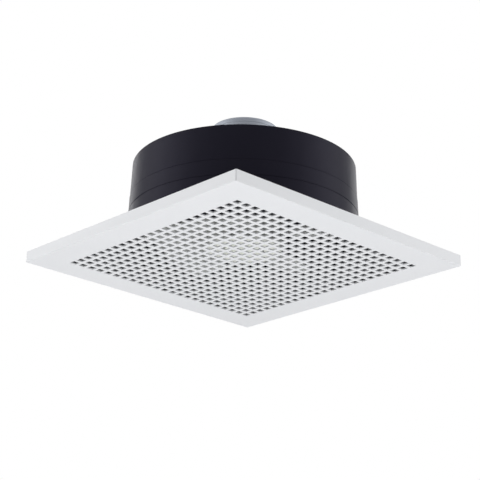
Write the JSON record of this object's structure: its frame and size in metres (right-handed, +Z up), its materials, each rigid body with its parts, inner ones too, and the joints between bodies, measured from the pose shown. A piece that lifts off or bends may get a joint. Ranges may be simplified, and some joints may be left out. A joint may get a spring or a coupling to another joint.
{
  "type": "ceiling extractor fan",
  "caption": "Square perforated ceiling grille on wire hanger springs under a round black drum with an axial fan and a stay-mounted motor, for drawing air out of a room.",
  "frame": {"origin": "on the drum's axis in the ceiling plane, the upper face of the mounting frame", "axes": "+Z up along the drum's axis, away from the room; X and Y along the sides of the square grille"},
  "size_m": [0.36, 0.36, 0.1714],
  "materials": {
    "grille_white": "moulded, satin sheen",
    "drum_black": "satin black moulding with a faint navy tint",
    "throat_black": "satin black moulding",
    "frame_steel": "dark powder coat",
    "spring_steel": "drawn spring wire",
    "screw_steel": "zinc plated",
    "stay_steel": "galvanised sheet",
    "motor_steel": "galvanised pressed can",
    "fan_plastic": "pale grey moulding",
    "spinner_plastic": "pale grey moulding",
    "core_steel": "stacked laminations",
    "winding_copper": "varnished copper wire",
    "bearing_bronze": "sintered bronze",
    "end_ring_aluminium": "die cast",
    "shaft_steel": "ground bar",
    "bush_rubber": "matt rubber",
    "box_plastic": "fine spark texture",
    "gland_plastic": "moulded nylon",
    "block_plastic": "moulded thermoset",
    "capacitor_plastic": "moulded case",
    "lead_sleeve": "woven sleeve",
    "earth_brass": "bright brass"
  },
  "bodies": {
    "housing": {"mounting_frame": "frame_steel", "drum_base": "drum_black", "drum_collar": "drum_black", "lap_screws": "screw_steel", "throat_ring": "throat_black", "throat_screws": "screw_steel", "motor_stay": "stay_steel", "stay_screws": "screw_steel", "vibration_bushes": "bush_rubber", "motor_mount_screws": "screw_steel", "motor_mount_nuts": "screw_steel", "motor_front_shell": "motor_steel", "motor_rear_shell": "motor_steel", "shell_screws": "screw_steel", "shell_nuts": "screw_steel", "stator_core": "core_steel", "lower_winding": "winding_copper", "upper_winding": "winding_copper", "lower_bearing": "bearing_bronze", "upper_bearing": "bearing_bronze", "terminal_box": "box_plastic", "box_screws": "screw_steel", "terminal_cover": "box_plastic", "cover_screws": "screw_steel", "terminal_block": "block_plastic", "terminal_screws": "earth_brass", "capacitor": "capacitor_plastic", "cable_gland": "gland_plastic", "gland_locknut": "gland_plastic", "motor_lead": "lead_sleeve", "lead_grommet": "bush_rubber", "earth_screw": "earth_brass"},
    "rotor": {"shaft": "shaft_steel", "rotor_core": "core_steel", "rotor_end_rings": "end_ring_aluminium", "thrust_washers": "bearing_bronze", "propeller": "fan_plastic", "drive_pin": "shaft_steel", "spinner_nut": "spinner_plastic"},
    "grille": {"grille_panel": "grille_white", "left_hanger_spring": "spring_steel", "right_hanger_spring": "spring_steel", "left_spring_clip": "stay_steel", "right_spring_clip": "stay_steel", "clip_screws": "screw_steel"}
  },
  "joints": [
    {"name": "fan_spin", "type": "hinge", "parent": "housing", "child": "rotor", "pos_m": [0, 0, 0.06], "axis": [0, 0, 1], "continuous": true},
    {"name": "grille_drop", "type": "slide", "parent": "housing", "child": "grille", "axis": [0, 0, -1], "range_m": [0, 0.065], "stiffness_N_per_m": 60, "springref_m": -0.2}
  ]
}
